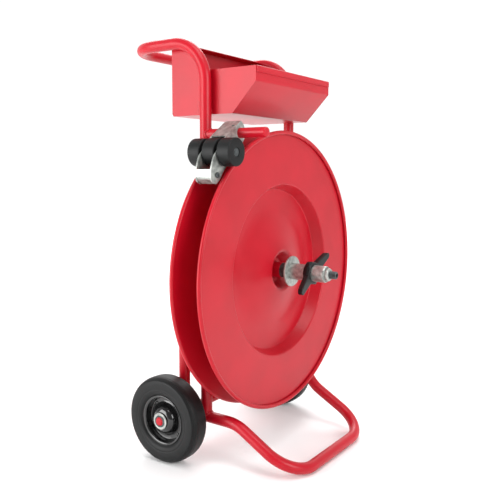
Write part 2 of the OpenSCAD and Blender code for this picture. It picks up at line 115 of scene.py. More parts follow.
def newFinish(name, settings):
    # a material with its Principled shader set, and the colour nodes' place to read from
    made = bpy.data.materials.new(name)
    made.use_nodes = True
    shader = made.node_tree.nodes["Principled BSDF"]
    for socket, value in settings.items():
        shader.inputs[socket].default_value = value
    place = addNode(made.node_tree, "ShaderNodeTexCoord").outputs["Object"]
    return made, made.node_tree, shader, place


def mixedColour(tree, shader, amount, dark, light, low, high):
    # paints the base colour between two tones, by a pattern that runs from low to high
    share = addNode(tree, "ShaderNodeMapRange", {"From Min": low, "From Max": high}, {"Value": amount})
    tones = addNode(tree, "ShaderNodeMix", {"data_type": "RGBA"}, {"Factor": share.outputs["Result"]})
    tones.inputs["A"].default_value = hexColour(dark)
    tones.inputs["B"].default_value = hexColour(light)
    tree.links.new(next(o for o in tones.outputs if o.type == "RGBA"), shader.inputs["Base Color"])


def addBump(tree, shader, height, strength, distance):
    bump = addNode(tree, "ShaderNodeBump", {"Strength": strength, "Distance": distance},
                   {"Height": height})
    tree.links.new(bump.outputs["Normal"], shader.inputs["Normal"])


def variedRoughness(tree, shader, amount, smooth, rough):
    share = addNode(tree, "ShaderNodeMapRange", {"To Min": smooth, "To Max": rough}, {"Value": amount})
    tree.links.new(share.outputs["Result"], shader.inputs["Roughness"])


paintLook = {
    "shade": "#AE081C",
    "light": "#B80C21",
    "peelSize": 3.2,  # mm between the bumps of the orange peel
    "peelDepth": 0.03,  # mm
    "cloudSize": 90.0,  # mm across the slow change of tone that dust leaves
}


def powderCoat(look):
    # gloss powder coat, sprayed and baked: one even red, a soft gloss and a very fine orange peel
    made, tree, shader, place = newFinish("redPowderCoat", {
        "Roughness": 0.36, "IOR": 1.5, "Specular IOR Level": 0.3,
        "Coat Weight": 0.05, "Coat Roughness": 0.2})
    cloud = addNode(tree, "ShaderNodeTexNoise", {"Scale": 1000 / look["cloudSize"], "Detail": 3.0},
                    {"Vector": place})
    mixedColour(tree, shader, cloud.outputs["Fac"], look["shade"], look["light"], 0.35, 0.65)
    variedRoughness(tree, shader, cloud.outputs["Fac"], 0.31, 0.41)
    peel = addNode(tree, "ShaderNodeTexNoise", {"Scale": 1000 / look["peelSize"], "Detail": 1.0},
                   {"Vector": place})
    addBump(tree, shader, peel.outputs["Fac"], 0.35, look["peelDepth"] * mm)
    return made


zincLook = {
    "dull": "#8E928E",
    "bright": "#B9BCB7",
    "crystal": 2.4,  # mm across the patches of the plating
    "scratch": 0.9,  # mm between the fine marks of rolling and handling
}


def zincPlate(look):
    # bright zinc plate over rolled steel: pale, a little green-grey, mottled in gloss
    made, tree, shader, place = newFinish("zincPlate", {"Metallic": 0.62, "Roughness": 0.3})
    mottle = addNode(tree, "ShaderNodeTexNoise", {"Scale": 1000 / look["crystal"] / 4, "Detail": 5.0},
                     {"Vector": place})
    mixedColour(tree, shader, mottle.outputs["Fac"], look["dull"], look["bright"], 0.35, 0.65)
    variedRoughness(tree, shader, mottle.outputs["Fac"], 0.24, 0.46)
    scratch = addNode(tree, "ShaderNodeTexNoise", {"Scale": 1000 / look["scratch"], "Detail": 2.0},
                      {"Vector": place})
    addBump(tree, shader, scratch.outputs["Fac"], 0.2, 0.02 * mm)
    return made


rubberLook = {
    "dark": "#0B0C0C",
    "dusty": "#141516",
    "bloom": 26.0,  # mm across the grey bloom on the surface
    "grain": 1.1,  # mm between the grains of the mould's surface
}


def mouldedRubber(look):
    # vulcanised rubber from a blasted mould: near black, matt, with a faint grey bloom
    made, tree, shader, place = newFinish("mouldedRubber", {
        "Roughness": 0.6, "IOR": 1.52, "Specular IOR Level": 0.25})
    bloom = addNode(tree, "ShaderNodeTexNoise", {"Scale": 1000 / look["bloom"], "Detail": 6.0,
                                                 "Roughness": 0.6}, {"Vector": place})
    mixedColour(tree, shader, bloom.outputs["Fac"], look["dark"], look["dusty"], 0.35, 0.7)
    variedRoughness(tree, shader, bloom.outputs["Fac"], 0.42, 0.6)
    grain = addNode(tree, "ShaderNodeTexNoise", {"Scale": 1000 / look["grain"], "Detail": 1.0},
                    {"Vector": place})
    addBump(tree, shader, grain.outputs["Fac"], 0.3, 0.05 * mm)
    return made


enamelLook = {
    "ink": "#050506",
    "soot": "#0A0A0B",
    "ripple": 14.0,  # mm between the paint's slow ripples
}


def glossEnamel(look):
    # stoved gloss enamel on pressed steel: deep black with sharp reflections and slow ripples
    made, tree, shader, place = newFinish("glossEnamel", {
        "Roughness": 0.12, "IOR": 1.5, "Coat Weight": 0.5, "Coat Roughness": 0.05})
    ripple = addNode(tree, "ShaderNodeTexNoise", {"Scale": 1000 / look["ripple"], "Detail": 2.0},
                     {"Vector": place})
    mixedColour(tree, shader, ripple.outputs["Fac"], look["ink"], look["soot"], 0.3, 0.7)
    addBump(tree, shader, ripple.outputs["Fac"], 0.15, 0.2 * mm)
    return made


nylonLook = {
    "black": ("#060707", "#0D0E0F"),
    "grey": ("#8A8D8C", "#9A9D9C"),
    "cloud": 16.0,  # mm across the patches of tone
    "grain": 0.8,  # mm between the mould's grains
}


def mouldedNylon(look, name, tones):
    # glass-filled nylon from a spark-eroded mould: dark, with a satin grain
    made, tree, shader, place = newFinish(name, {
        "Roughness": 0.42, "IOR": 1.53, "Specular IOR Level": 0.35})
    cloud = addNode(tree, "ShaderNodeTexNoise", {"Scale": 1000 / look["cloud"], "Detail": 4.0},
                    {"Vector": place})
    mixedColour(tree, shader, cloud.outputs["Fac"], *tones, 0.35, 0.7)
    variedRoughness(tree, shader, cloud.outputs["Fac"], 0.36, 0.5)
    grain = addNode(tree, "ShaderNodeTexNoise", {"Scale": 1000 / look["grain"], "Detail": 1.0},
                    {"Vector": place})
    addBump(tree, shader, grain.outputs["Fac"], 0.35, 0.04 * mm)
    return made


steelLook = {
    "oiled": "#3A3E3F",
    "dry": "#565B5C",
    "streak": 8.0,  # mm across the streaks that the oil leaves
}


def oiledSteel(look):
    # phosphated and oiled steel: dark grey, half matt, a little streaked along the tube
    made, tree, shader, place = newFinish("oiledSteel", {"Metallic": 0.6, "Roughness": 0.45})
    streak = addNode(tree, "ShaderNodeTexNoise", {"Scale": 1000 / look["streak"], "Detail": 4.0},
                     {"Vector": place})
    mixedColour(tree, shader, streak.outputs["Fac"], look["oiled"], look["dry"], 0.35, 0.65)
    variedRoughness(tree, shader, streak.outputs["Fac"], 0.36, 0.52)
    return made


finishes = {
    "red_paint": powderCoat(paintLook),
    "zinc_plate": zincPlate(zincLook),
    "black_rubber": mouldedRubber(rubberLook),
    "black_enamel": glossEnamel(enamelLook),
    "black_plastic": mouldedNylon(nylonLook, "blackNylon", nylonLook["black"]),
    "grey_plastic": mouldedNylon(nylonLook, "greyNylon", nylonLook["grey"]),
    "dark_steel": oiledSteel(steelLook),
}
print("materials made:", len(finishes))


# ways to make a piece
def finishPiece(name, bm, body, slotName, replaced, sharp=32, thickness=0.0, edge=0.0, fix=True):
    # turns a bmesh into a piece that rides on a body and stands for its CAD nodes
    bmesh.ops.remove_doubles(bm, verts=bm.verts[:], dist=0.002 * mm)
    if fix:
        bmesh.ops.recalc_face_normals(bm, faces=bm.faces[:])
    mesh = bpy.data.meshes.new(name)
    bm.to_mesh(mesh)
    bm.free()
    mesh.shade_smooth()
    mesh.set_sharp_from_angle(angle=math.radians(sharp))
    mesh.materials.append(finishes[slotName])
    piece = bpy.data.objects.new(name, mesh)
    bpy.context.scene.collection.objects.link(piece)
    if thickness:
        wall = piece.modifiers.new("wall", "SOLIDIFY")
        wall.thickness, wall.offset, wall.use_even_offset = thickness * mm, 0.0, True
    if edge:
        soft = piece.modifiers.new("edge", "BEVEL")
        soft.width, soft.segments, soft.limit_method = edge * mm, 2, "ANGLE"
        soft.angle_limit, soft.harden_normals = math.radians(40), True
    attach(piece, body)
    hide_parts(*replaced)
    return piece


def addPath(bm, points, closed=False, flat=False, smoothness=6):
    # an outline of (x, z, rounding) in mm; rounding is how far from the corner its curve starts
    places = [Vector((p[0], p[1], 0)) if flat else Vector((p[0], 0, p[1])) for p in points]
    corners = [bm.verts.new(place * mm) for place in places]
    pairs = list(zip(corners, corners[1:])) + ([(corners[-1], corners[0])] if closed else [])
    edges = [bm.edges.new(pair) for pair in pairs]
    for corner, point in zip(corners, points):
        if len(point) > 2 and point[2]:
            bmesh.ops.bevel(bm, geom=[corner], offset=point[2] * mm, offset_type="OFFSET", profile=0.5,
                            segments=smoothness, affect="VERTICES", material=-1, clamp_overlap=False)
    return edges


def spinPath(points, closed=True, steps=96, smoothness=6):
    # turns an outline of (radius, height, rounding) round Z
    bm = bmesh.new()
    addPath(bm, points, closed, smoothness=smoothness)
    bmesh.ops.spin(bm, geom=bm.verts[:] + bm.edges[:], cent=(0, 0, 0), axis=(0, 0, 1), dvec=(0, 0, 0),
                   angle=2 * math.pi, steps=steps, use_merge=True, use_duplicate=False)
    bmesh.ops.remove_doubles(bm, verts=bm.verts[:], dist=0.001 * mm)
    return bm


def joined(parts):
    # several bmeshes as one
    whole = bmesh.new()
    for part in parts:
        mesh = bpy.data.meshes.new("part")
        part.to_mesh(mesh)
        part.free()
        whole.from_mesh(mesh)
        bpy.data.meshes.remove(mesh)
    return whole


def moved(bm, place):
    bmesh.ops.transform(bm, matrix=place, verts=bm.verts[:])
    if place.determinant() < 0:
        bmesh.ops.reverse_faces(bm, faces=bm.faces[:])
    return bm


def closeHoles(bm):
    rims = [edge for edge in bm.edges if len(edge.link_faces) == 1]
    bmesh.ops.holes_fill(bm, edges=rims, sides=0)


def bendTube(radius, start, heading, moves, around=40):
    # a round tube that runs on from start by ("run", length) or ("bend", radius, towards, angle)
    bm = bmesh.new()
    here, ahead = Vector(start) * mm, Vector(heading).normalized()
    facing = ahead.to_track_quat("Z", "Y").to_matrix().to_4x4()
    bmesh.ops.create_circle(bm, segments=around, radius=radius * mm,
                            matrix=Matrix.Translation(here) @ facing)
    loop = bm.edges[:]
    for move in moves:
        if move[0] == "run":
            grown = bmesh.ops.extrude_edge_only(bm, edges=loop)["geom"]
            loop = [e for e in grown if isinstance(e, bmesh.types.BMEdge)]
            loop = [e for e in loop if len(e.link_faces) == 1]
            ends = list({v for e in loop for v in e.verts})
            bmesh.ops.translate(bm, vec=ahead * move[1] * mm, verts=ends)
            here = here + ahead * move[1] * mm
        else:
            towards = Vector(move[2]).normalized()
            centre = here + towards * move[1] * mm
            axis = ahead.cross(towards)
            steps = max(4, round(move[3] / 5))
            ends = list({v for e in loop for v in e.verts})
            last = bmesh.ops.spin(bm, geom=ends + loop, cent=centre, axis=axis, dvec=(0, 0, 0),
                                  angle=math.radians(move[3]), steps=steps, use_duplicate=False)
            loop = [e for e in last["geom_last"] if isinstance(e, bmesh.types.BMEdge)]
            turn = Matrix.Rotation(math.radians(move[3]), 3, axis)
            here, ahead = centre + turn @ (here - centre), turn @ ahead
    bmesh.ops.remove_doubles(bm, verts=bm.verts[:], dist=0.001 * mm)
    closeHoles(bm)
    return bm


def cutPlate(outline, holes, thickness, smoothness=5):
    # a flat plate in the XY plane, from an outline of (x, y, rounding) and holes of (x, y, radius)
    bm = bmesh.new()
    addPath(bm, outline, closed=True, flat=True, smoothness=smoothness)
    for x, y, radius in holes:
        bmesh.ops.create_circle(bm, segments=32, radius=radius * mm,
                                matrix=Matrix.Translation((x * mm, y * mm, 0)))
    bmesh.ops.triangle_fill(bm, edges=bm.edges[:], use_beauty=True)
    grown = bmesh.ops.extrude_face_region(bm, geom=bm.faces[:])["geom"]
    top = [v for v in grown if isinstance(v, bmesh.types.BMVert)]
    bmesh.ops.translate(bm, vec=(0, 0, thickness * mm), verts=top)
    return bm


def foldSheet(path, width, smoothness=5):
    # a sheet that follows a path of (x, z, rounding) and runs along Y, without its thickness
    bm = bmesh.new()
    addPath(bm, path, smoothness=smoothness)
    grown = bmesh.ops.extrude_edge_only(bm, edges=bm.edges[:])["geom"]
    moving = [v for v in grown if isinstance(v, bmesh.types.BMVert)]
    bmesh.ops.translate(bm, vec=(0, width * mm, 0), verts=moving)
    bmesh.ops.translate(bm, vec=(0, -width * mm / 2, 0), verts=bm.verts[:])
    return bm


def weldBead(points, radius, closed=True, ripple=0.18):
    # a weld bead along points in mm, a little thicker and thinner as a welder's hand moves
    line = bpy.data.curves.new("bead", "CURVE")
    line.dimensions, line.bevel_depth, line.bevel_resolution = "3D", radius * mm, 2
    line.use_fill_caps = not closed
    spline = line.splines.new("POLY")
    spline.points.add(len(points) - 1)
    spline.use_cyclic_u = closed
    for i, (knot, point) in enumerate(zip(spline.points, points)):
        knot.co = (*(Vector(point) * mm), 1)
        knot.radius = 1 + ripple * math.sin(2.4 * i)
    holder = bpy.data.objects.new("bead", line)
    mesh = bpy.data.meshes.new_from_object(holder)
    bm = bmesh.new()
    bm.from_mesh(mesh)
    for thing, store in ((holder, bpy.data.objects), (line, bpy.data.curves), (mesh, bpy.data.meshes)):
        store.remove(thing)
    return bm


def saddle(centre, radius, crossRadius, along, cross, count=48):
    # the line where a tube that leaves centre along one way meets the tube that it is welded to
    third = Vector(along).cross(Vector(cross))
    line = []
    for i in range(count):
        turn = 2 * math.pi * i / count
        side, forth = radius * math.cos(turn), radius * math.sin(turn)
        rise = math.sqrt(max(crossRadius ** 2 - side ** 2, 0))
        line.append(Vector(centre) + third * side + Vector(cross) * forth + Vector(along) * rise)
    return line


# places
toFront = Matrix.Rotation(math.pi / 2, 4, "X")  # turns a piece made along Z to lie along the spindle
spindlePlace = Matrix.Translation((0, 0, joints["reel_spin"]["pos_m"][2])) @ toFront
rollerAt = Vector(joints["middle_roller_spin"]["pos_m"])
leverAt = Vector(joints["brake_lever_swing"]["pos_m"])
rollerPlace = Matrix.Translation(rollerAt) @ toFront
barPlace = Matrix.Translation((leverAt.x, 0, leverAt.z)) @ toFront
flipped = Matrix.Diagonal((1, 1, -1, 1))


def wheelPlace(side):
    name = "left_wheel_spin" if side < 0 else "right_wheel_spin"
    return Matrix.Translation(joints[name]["pos_m"]) @ Matrix.Rotation(side * math.pi / 2, 4, "Y")


def boxMm(node):
    return [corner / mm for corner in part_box(node)]


def sizeMm(node):
    low, high = boxMm(node)
    return high - low


# frame
frameTube = {
    "radius": sizeMm("left_foot_rail").z / 2,
    "handleBend": 89,
    "footBend": 80,
    "dropBend": 90,  # where the rails turn down into the foot bar
    "strutBend": 48,
    "bead": 2.6,  # radius of the weld beads
}


def makeMainTube(tube):
    low, high = boxMm("main_tube")
    radius, bend = tube["radius"], tube["handleBend"]
    rise = high.z - radius - low.z - bend
    reach = high.y - radius - 2 * bend
    span = high.x - low.x - 2 * radius - 2 * bend
    moves = [("run", rise), ("bend", bend, (0, 1, 0), 90), ("run", reach),
             ("bend", bend, (1, 0, 0), 90), ("run", span), ("bend", bend, (0, -1, 0), 90),
             ("run", reach), ("bend", bend, (0, 0, -1), 90), ("run", rise)]
    bm = bendTube(radius, (low.x + radius, 0, low.z), (0, 0, 1), moves, around=48)
    finishPiece("mainTube", bm, "frame", "red_paint", ["main_tube"])


def makeFootBar(tube):
    low = boxMm("foot_bar")[0]
    railLow, railHigh = boxMm("left_foot_rail")
    radius, bend, drop = tube["radius"], tube["footBend"], tube["dropBend"]
    level = (railLow.z + railHigh.z) / 2
    x, rear, front = low.x + radius, railHigh.y, low.y + radius
    corner = railLow.y + radius / 4
    leg = Vector((0, front - corner, low.z + radius - level))
    tilt = math.degrees(math.atan2(-leg.z, -leg.y))
    dropCut = drop * math.tan(math.radians(tilt / 2))
    down = leg.normalized()
    moves = [("run", rear - corner - dropCut), ("bend", drop, (0, 0, -1), tilt),
             ("run", leg.length - dropCut - bend), ("bend", bend, (1, 0, 0), 90),
             ("run", -2 * x - 2 * bend), ("bend", bend, -down, 90),
             ("run", leg.length - dropCut - bend),
             ("bend", drop, Vector((0, down.z, -down.y)), tilt), ("run", rear - corner - dropCut)]
    bm = bendTube(radius, (x, rear, level), (0, -1, 0), moves, around=48)
    finishPiece("footBar", bm, "frame", "red_paint",
                ["foot_bar", "left_foot_rail", "right_foot_rail"])


def makeStruts(tube):
    radius, bend = tube["radius"], tube["strutBend"]
    parts = []
    for node in ("left_strut", "right_strut"):
        low, high = boxMm(node)
        x, back = (low.x + high.x) / 2, high.y - radius
        top = high.z - radius
        moves = [("run", back - bend), ("bend", bend, (0, 0, -1), 90), ("run", top - bend - low.z)]
        parts.append(bendTube(radius, (x, 0, top), (0, 1, 0), moves))
    finishPiece("struts", joined(parts), "frame", "red_paint", ["left_strut", "right_strut"])


def makeWelds(tube):
    # beads where a tube's cut end is welded to the tube that it meets
    low, high = boxMm("left_foot_rail")
    level, radius = (low.z + high.z) / 2, tube["radius"]
    strutHigh = boxMm("left_strut")[1]
    beamLow, beamHigh = boxMm("spindle_beam")
    beads = []
    for side in (-1, 1):
        x = side * abs(low.x + radius)
        back = strutHigh.y - radius
        beads.append(saddle((x, 0, level), radius, radius, (0, 0, 1), (0, 1, 0)))
        beads.append(saddle((x, back, level), radius, radius, (0, 0, 1), (0, 1, 0)))
        beads.append(saddle((x, 0, strutHigh.z - radius), radius, radius, (0, 1, 0), (0, 0, 1)))
        face = x - side * radius
        corners = []
        for y, z in ((beamLow.y, beamLow.z), (beamLow.y, beamHigh.z),
                     (beamHigh.y, beamHigh.z), (beamHigh.y, beamLow.z)):
            wrap = radius - math.sqrt(radius ** 2 - (y * 0.98) ** 2)
            corners.append(Vector((face + side * wrap * 0.9, y, z)))
        line = []
        for a, b in zip(corners, corners[1:] + corners[:1]):
            middle = (a + b) / 2
            middle.x = face if abs(a.z - b.z) < 1 else middle.x
            line += [a, middle]
        beads.append(line)
    barRadius = sizeMm("lever_bar").x / 2
    barFoot = (leverAt.x / mm, 0, leverAt.z / mm)
    beads.append(saddle(barFoot, barRadius, radius, (0, -1, 0), (0, 0, 1)))
    parts = [weldBead(line, tube["bead"]) for line in beads]
    return joined(parts)


stitch = {
    "length": 10,
    "apart": 13,  # the two beads of a stitch, one on each side of the tube
    "upperShift": 3.5,  # how far forward the upper stitch lies, where the tube starts its bend
    "bead": 2.2,
    "inset": 2.5,
}


def makeBoxWelds(look):
    # short stitches between the box's sides and the uprights
    low, high = boxMm("box_welds")
    length, apart = look["length"], look["apart"]
    parts = []
    for side in (-1, 1):
        x = side * (abs(low.x) - look["inset"])
        for start, shift in ((low.z + 0.5, 0), (high.z - length - 0.5, look["upperShift"])):
            for y in (shift - apart / 2, shift + apart / 2):
                line = [(x, y, start + i) for i in range(length + 1)]
                parts.append(weldBead(line, look["bead"], closed=False, ripple=0.25))
    return joined(parts)


def makePlugs():
    low, high = boxMm("tube_end_plugs")
    radius = (high.z - low.z) / 2
    neck = radius - 2.2
    outline = [(0, 3), (radius, 3, 1.2), (radius, 0), (neck, 0), (neck, -6, 0.8), (0, -6)]
    parts = []
    for x in (low.x + radius, high.x - radius):
        place = Matrix.Translation(Vector((x, high.y - 3, (low.z + high.z) / 2)) * mm)
        parts.append(moved(spinPath(outline, closed=False), place @ toFront.inverted()))
    finishPiece("endPlugs", joined(parts), "frame", "black_plastic", ["tube_end_plugs"])


def makeBeam():
    low, high = boxMm("spindle_beam")
    width, height = high.y - low.y, high.z - low.z
    bm = bmesh.new()
    outline = [(-width / 2, -height / 2, 2), (width / 2, -height / 2, 2), (width / 2, height / 2, 2),
               (-width / 2, height / 2, 2)]
    addPath(bm, outline, closed=True, flat=True)
    grown = bmesh.ops.extrude_edge_only(bm, edges=bm.edges[:])["geom"]
    far = [v for v in grown if isinstance(v, bmesh.types.BMVert)]
    bmesh.ops.translate(bm, vec=(0, 0, (high.x - low.x) * mm), verts=far)
    closeHoles(bm)
    facing = Matrix(((0, 0, 1, 0), (1, 0, 0, 0), (0, 1, 0, 0), (0, 0, 0, 1)))
    middle = Vector((low.x, (low.y + high.y) / 2, (low.z + high.z) / 2)) * mm
    finishPiece("spindleBeam", moved(bm, Matrix.Translation(middle) @ facing), "frame", "red_paint",
                ["spindle_beam"])


makeMainTube(frameTube)
makeFootBar(frameTube)
makeStruts(frameTube)
makeBeam()
makePlugs()
welds = joined([makeWelds(frameTube), makeBoxWelds(stitch)])
finishPiece("welds", welds, "frame", "red_paint", ["box_welds"], fix=False)
print("frame made")


# spindle
spindleParts = {
    "threadRadius": 9,
    "threadPitch": 2.5,
    "threadDepth": 0.9,
    "threadStart": 223,  # in front of the uprights, as all heights along the spindle are
    "socket": 4.6,
    "bore": 10.1,  # of the washers and nuts on the bar
}


def makeSpindle(parts):
    low, high = boxMm("spindle_bar")
    radius, tip, back = (high.x - low.x) / 2, -low.y, -high.y
    start, crest, pitch = parts["threadStart"], parts["threadRadius"], parts["threadPitch"]
    bar = [(0, back), (radius - 1, back), (radius, back + 1), (radius, start, 0.4), (0, start)]
    bm = spinPath(bar, closed=False, smoothness=2)
    finishPiece("spindleBar", moved(bm, spindlePlace), "frame", "zinc_plate", ["spindle_bar"])
    thread = [(0, start - 2), (crest, start - 2), (crest, start)]
    height = start
    while height + pitch < tip - 1:
        thread.append((crest - parts["threadDepth"], height + pitch / 2, 0.4))
        height += pitch
        thread.append((crest, height, 0.2))
    socket = parts["socket"]
    thread += [(crest - 1.6, tip), (socket, tip, 0.5), (socket, tip - 6), (0, tip - 6)]
    bm = spinPath(thread, closed=False, smoothness=2)
    # the threaded tip gets the dark oiled-steel finish as painted shade: the dark stands for the
    # shadow in the thread's grooves, on a bar that is zinc plated
    finishPiece("spindleThreadPaintedShade", moved(bm, spindlePlace), "frame", "dark_steel", [])


def ringOutline(node, inner, rounding):
    # the section of a turned ring along the spindle, as wide as its CAD node
    low, high = boxMm(node)
    outer = (high.x - low.x) / 2
    back, front = -high.y, -low.y
    return [(inner, back), (outer, back, rounding), (outer, front, rounding), (inner, front)]


def makeSpindleRings(parts):
    bore = parts["bore"]
    for end in ("rear", "front"):
        node = end + "_thrust_washer"
        bm = spinPath(ringOutline(node, bore, 0.3))
        finishPiece(end + "ThrustWasher", moved(bm, spindlePlace), "frame", "zinc_plate", [node])
    low, high = boxMm("spindle_ring_nut")
    outer, back, front = (high.x - low.x) / 2, -high.y, -low.y
    outline = [(bore, back), (outer, back, 0.5), (outer, front - 2.5, 1.5), (outer - 2, front, 0.8),
               (bore, front)]
    bm = spinPath(outline, steps=64)
    finishPiece("ringNut", moved(bm, spindlePlace), "frame", "zinc_plate", ["spindle_ring_nut"])


def makeRearNut(parts):
    low, high = boxMm("spindle_rear_nut")
    flat, back, front = (high.z - low.z) / 2, -high.y, -low.y
    corner = flat / math.cos(math.pi / 6)
    bm = bmesh.new()
    turns = [math.pi / 3 * i for i in range(6)]
    outline = [(corner * math.cos(turn), corner * math.sin(turn)) for turn in turns]
    addPath(bm, outline, closed=True, flat=True)
    bmesh.ops.create_circle(bm, segments=48, radius=parts["bore"] * mm)
    bmesh.ops.triangle_fill(bm, edges=bm.edges[:], use_beauty=True)
    grown = bmesh.ops.extrude_face_region(bm, geom=bm.faces[:])["geom"]
    top = [v for v in grown if isinstance(v, bmesh.types.BMVert)]
    bmesh.ops.translate(bm, vec=(0, 0, (front - back) * mm), verts=top)
    bmesh.ops.translate(bm, vec=(0, 0, back * mm), verts=bm.verts[:])
    finishPiece("rearNut", moved(bm, spindlePlace), "frame", "zinc_plate", ["spindle_rear_nut"],
                edge=0.8)


makeSpindle(spindleParts)
makeSpindleRings(spindleParts)
makeRearNut(spindleParts)
print("spindle made")


# reel
flangeShape = {
    "sheet": 1.5,
    "curl": 4.8,  # outer radius of the curled rim
    "opening": 64,  # degrees of the curl that stay open
    "crater": 30,
    "crest": 46,
    "cone": 146,
    "step": 206,
    "slope": 12,  # how much narrower the dish is at its bottom
    "steps": 200,
}


def flangeBmesh(shape):
    # the pressed sheet's middle surface: crater, cone, dish, plate and curled rim
    low, high = boxMm("front_flange")
    floor = -high.y + shape["sheet"] / 2
    curl = shape["curl"] - shape["sheet"] / 2
    plate = -low.y - 2 * shape["curl"] + shape["sheet"] / 2
    outer = (high.z - low.z) / 2 - shape["sheet"] / 2
    core = sizeMm("front_flange_collar").x / 2
    step = shape["step"] - shape["sheet"] / 2
    outline = [(core, floor), (shape["crater"], floor, 3), (shape["crest"], plate, 7),
               (shape["cone"], floor, 14), (step - shape["slope"], floor, 2.2), (step, plate, 2.2),
               (outer - curl, plate)]
    turns = 26
    for i in range(1, turns + 1):
        turn = math.radians(-90 + (360 - shape["opening"]) * i / turns)
        outline.append((outer - curl + curl * math.cos(turn), plate + curl + curl * math.sin(turn)))
    return spinPath(outline, closed=False, steps=shape["steps"], smoothness=8)


def collarBmesh():
    low, high = boxMm("front_flange_collar")
    outer, back, front = (high.x - low.x) / 2, -high.y, -low.y
    inner = outer - 1.3
    return spinPath([(inner, back), (outer, back), (outer, front, 0.6), (inner, front, 0.4)])


def makeFlanges(shape):
    middle = (boxMm("front_flange")[0].y + boxMm("rear_flange")[1].y) / 2
    mirror = Matrix.Translation((0, 0, -2 * middle * mm)) @ flipped
    for name, body, turn in (("front", "front_disc", Matrix()), ("rear", "reel", mirror)):
        place = spindlePlace @ turn
        finishPiece(name + "Flange", moved(flangeBmesh(shape), place), body, "red_paint",
                    [name + "_flange"], thickness=shape["sheet"])
        finishPiece(name + "Collar", moved(collarBmesh(), place), body, "red_paint",
                    [name + "_flange_collar"])


hubParts = {"wall": 3, "bush": 24}


def makeHub(parts):
    low, high = boxMm("hub_tube")
    outer, back, front = (high.x - low.x) / 2, -high.y, -low.y
    inner = outer - parts["wall"]
    bm = spinPath([(inner, back), (outer, back, 0.8), (outer, front, 0.8), (inner, front)])
    # the hub tube gets the dark oiled-steel finish as painted shade: its dark span between the front
    # flange and the clamp washer is the washer's shadow
    finishPiece("hubTubePaintedShade", moved(bm, spindlePlace), "reel", "dark_steel", ["hub_tube"])
    bore, skin = spindleParts["bore"], inner - 0.1
    bushes = []
    for start in (back, front - parts["bush"]):
        end = start + parts["bush"]
        bushes.append(spinPath([(bore, start), (skin, start), (skin, end), (bore, end)]))
    finishPiece("hubBushes", moved(joined(bushes), spindlePlace), "reel", "grey_plastic",
                ["hub_bushes"])
    bm = spinPath(ringOutline("clamp_washer", outer + 0.1, 0.7))
    finishPiece("clampWasher", moved(bm, spindlePlace), "clamp_carrier", "zinc_plate",
                ["clamp_washer"])
    low, high = boxMm("clamp_sleeve")
    sleeve, back, front = (high.x - low.x) / 2, -high.y, -low.y
    outline = [(outer + 0.1, back), (sleeve, back), (sleeve, front - 4, 1), (outer + 0.4, front, 0.3),
               (outer + 0.1, front)]
    finishPiece("clampSleeve", moved(spinPath(outline), spindlePlace), "clamp_nut", "zinc_plate",
                ["clamp_sleeve"])


nutShape = {
    "ring": 27,
    "height": 18,
    "bore": 19.1,
    "armStart": 23,
    "angle": 32,
    "reach": 75,
    "sweep": 7,  # how far the wing tips lie in front of the ring
    "voxel": 0.9,
}


def nutArm(angle, start, reach, rootWidth, tipWidth, height, sweep, lift):
    # an arm that runs out from the nut's ring, narrower at its round tip
    bm = bmesh.new()
    bmesh.ops.create_cube(bm, size=1)
    bmesh.ops.subdivide_edges(bm, edges=bm.edges[:], cuts=7, use_grid_fill=True)
    for v in bm.verts:
        out = (start + (reach - start) * (v.co.x + 0.5)) / reach
        width = rootWidth + (tipWidth - rootWidth) * out ** 0.8
        side = v.co.y * 2 * width
        end = math.sqrt(max(1 - (v.co.y * 2) ** 2, 0)) if out > 0.99 else 1.0
        v.co = Vector((out * reach - (1 - end) * tipWidth, side,
                       v.co.z * height * (1 - 0.22 * out) + lift + sweep * out ** 1.5))
    bmesh.ops.transform(bm, matrix=Matrix.Diagonal((mm, mm, mm, 1)), verts=bm.verts[:])
    return moved(bm, Matrix.Rotation(math.radians(angle), 4, "Z"))


def makeWingNut(shape):
    back = -boxMm("wing_nut")[1].y
    half = shape["height"] / 2
    ring = spinPath([(shape["bore"], 0), (shape["ring"] - 1, 0, 1.5), (shape["ring"], half),
                     (shape["ring"] - 2, shape["height"], 2), (shape["bore"], shape["height"])])
    angle, start, height = shape["angle"], shape["armStart"], shape["height"]
    reach, sweep = shape["reach"] - 0.5, shape["sweep"]
    arms = [nutArm(angle + turn, start, reach, 15, 7.2, height - 3, sweep, half)
            for turn in (0, 180)]
    lobes = [nutArm(angle + turn, start, 31, 13, 7, height - 6, 0, half) for turn in (90, 270)]
    solid = joined([ring] + arms + lobes)
    mesh = bpy.data.meshes.new("nutBlank")
    solid.to_mesh(mesh)
    solid.free()
    blank = bpy.data.objects.new("nutBlank", mesh)
    bpy.context.scene.collection.objects.link(blank)
    melt = blank.modifiers.new("melt", "REMESH")
    melt.mode, melt.voxel_size = "VOXEL", shape["voxel"] * mm
    soft = blank.modifiers.new("soft", "SMOOTH")
    soft.factor, soft.iterations = 0.6, 6
    graph = bpy.context.evaluated_depsgraph_get()
    made = bpy.data.meshes.new_from_object(blank.evaluated_get(graph))
    bm = bmesh.new()
    bm.from_mesh(made)
    core = [v for v in bm.verts if math.hypot(v.co.x, v.co.y) < (shape["bore"] + 0.2) * mm]
    for v in core:
        out = Vector((v.co.x, v.co.y, 0)).normalized() * shape["bore"] * mm
        v.co.x, v.co.y = out.x, out.y
    for store, thing in ((bpy.data.objects, blank), (bpy.data.meshes, mesh), (bpy.data.meshes, made)):
        store.remove(thing)
    place = spindlePlace @ Matrix.Translation((0, 0, back * mm))
    finishPiece("wingNut", moved(bm, place), "clamp_nut", "black_plastic", ["wing_nut"], sharp=60,
                fix=False)


makeFlanges(flangeShape)
makeHub(hubParts)
makeWingNut(nutShape)
print("reel made")


# wheels
tyreShape = {
    "seat": 53.8,
    "bead": 58.3,
    "grooves": (0.35, 0.7),  # where on each flat of the shoulder the fine grooves lie
    "groove": 0.55,
}

rimShape = {"sheet": 1.5, "hub": 16.8, "bead": 58, "rivet": 44}


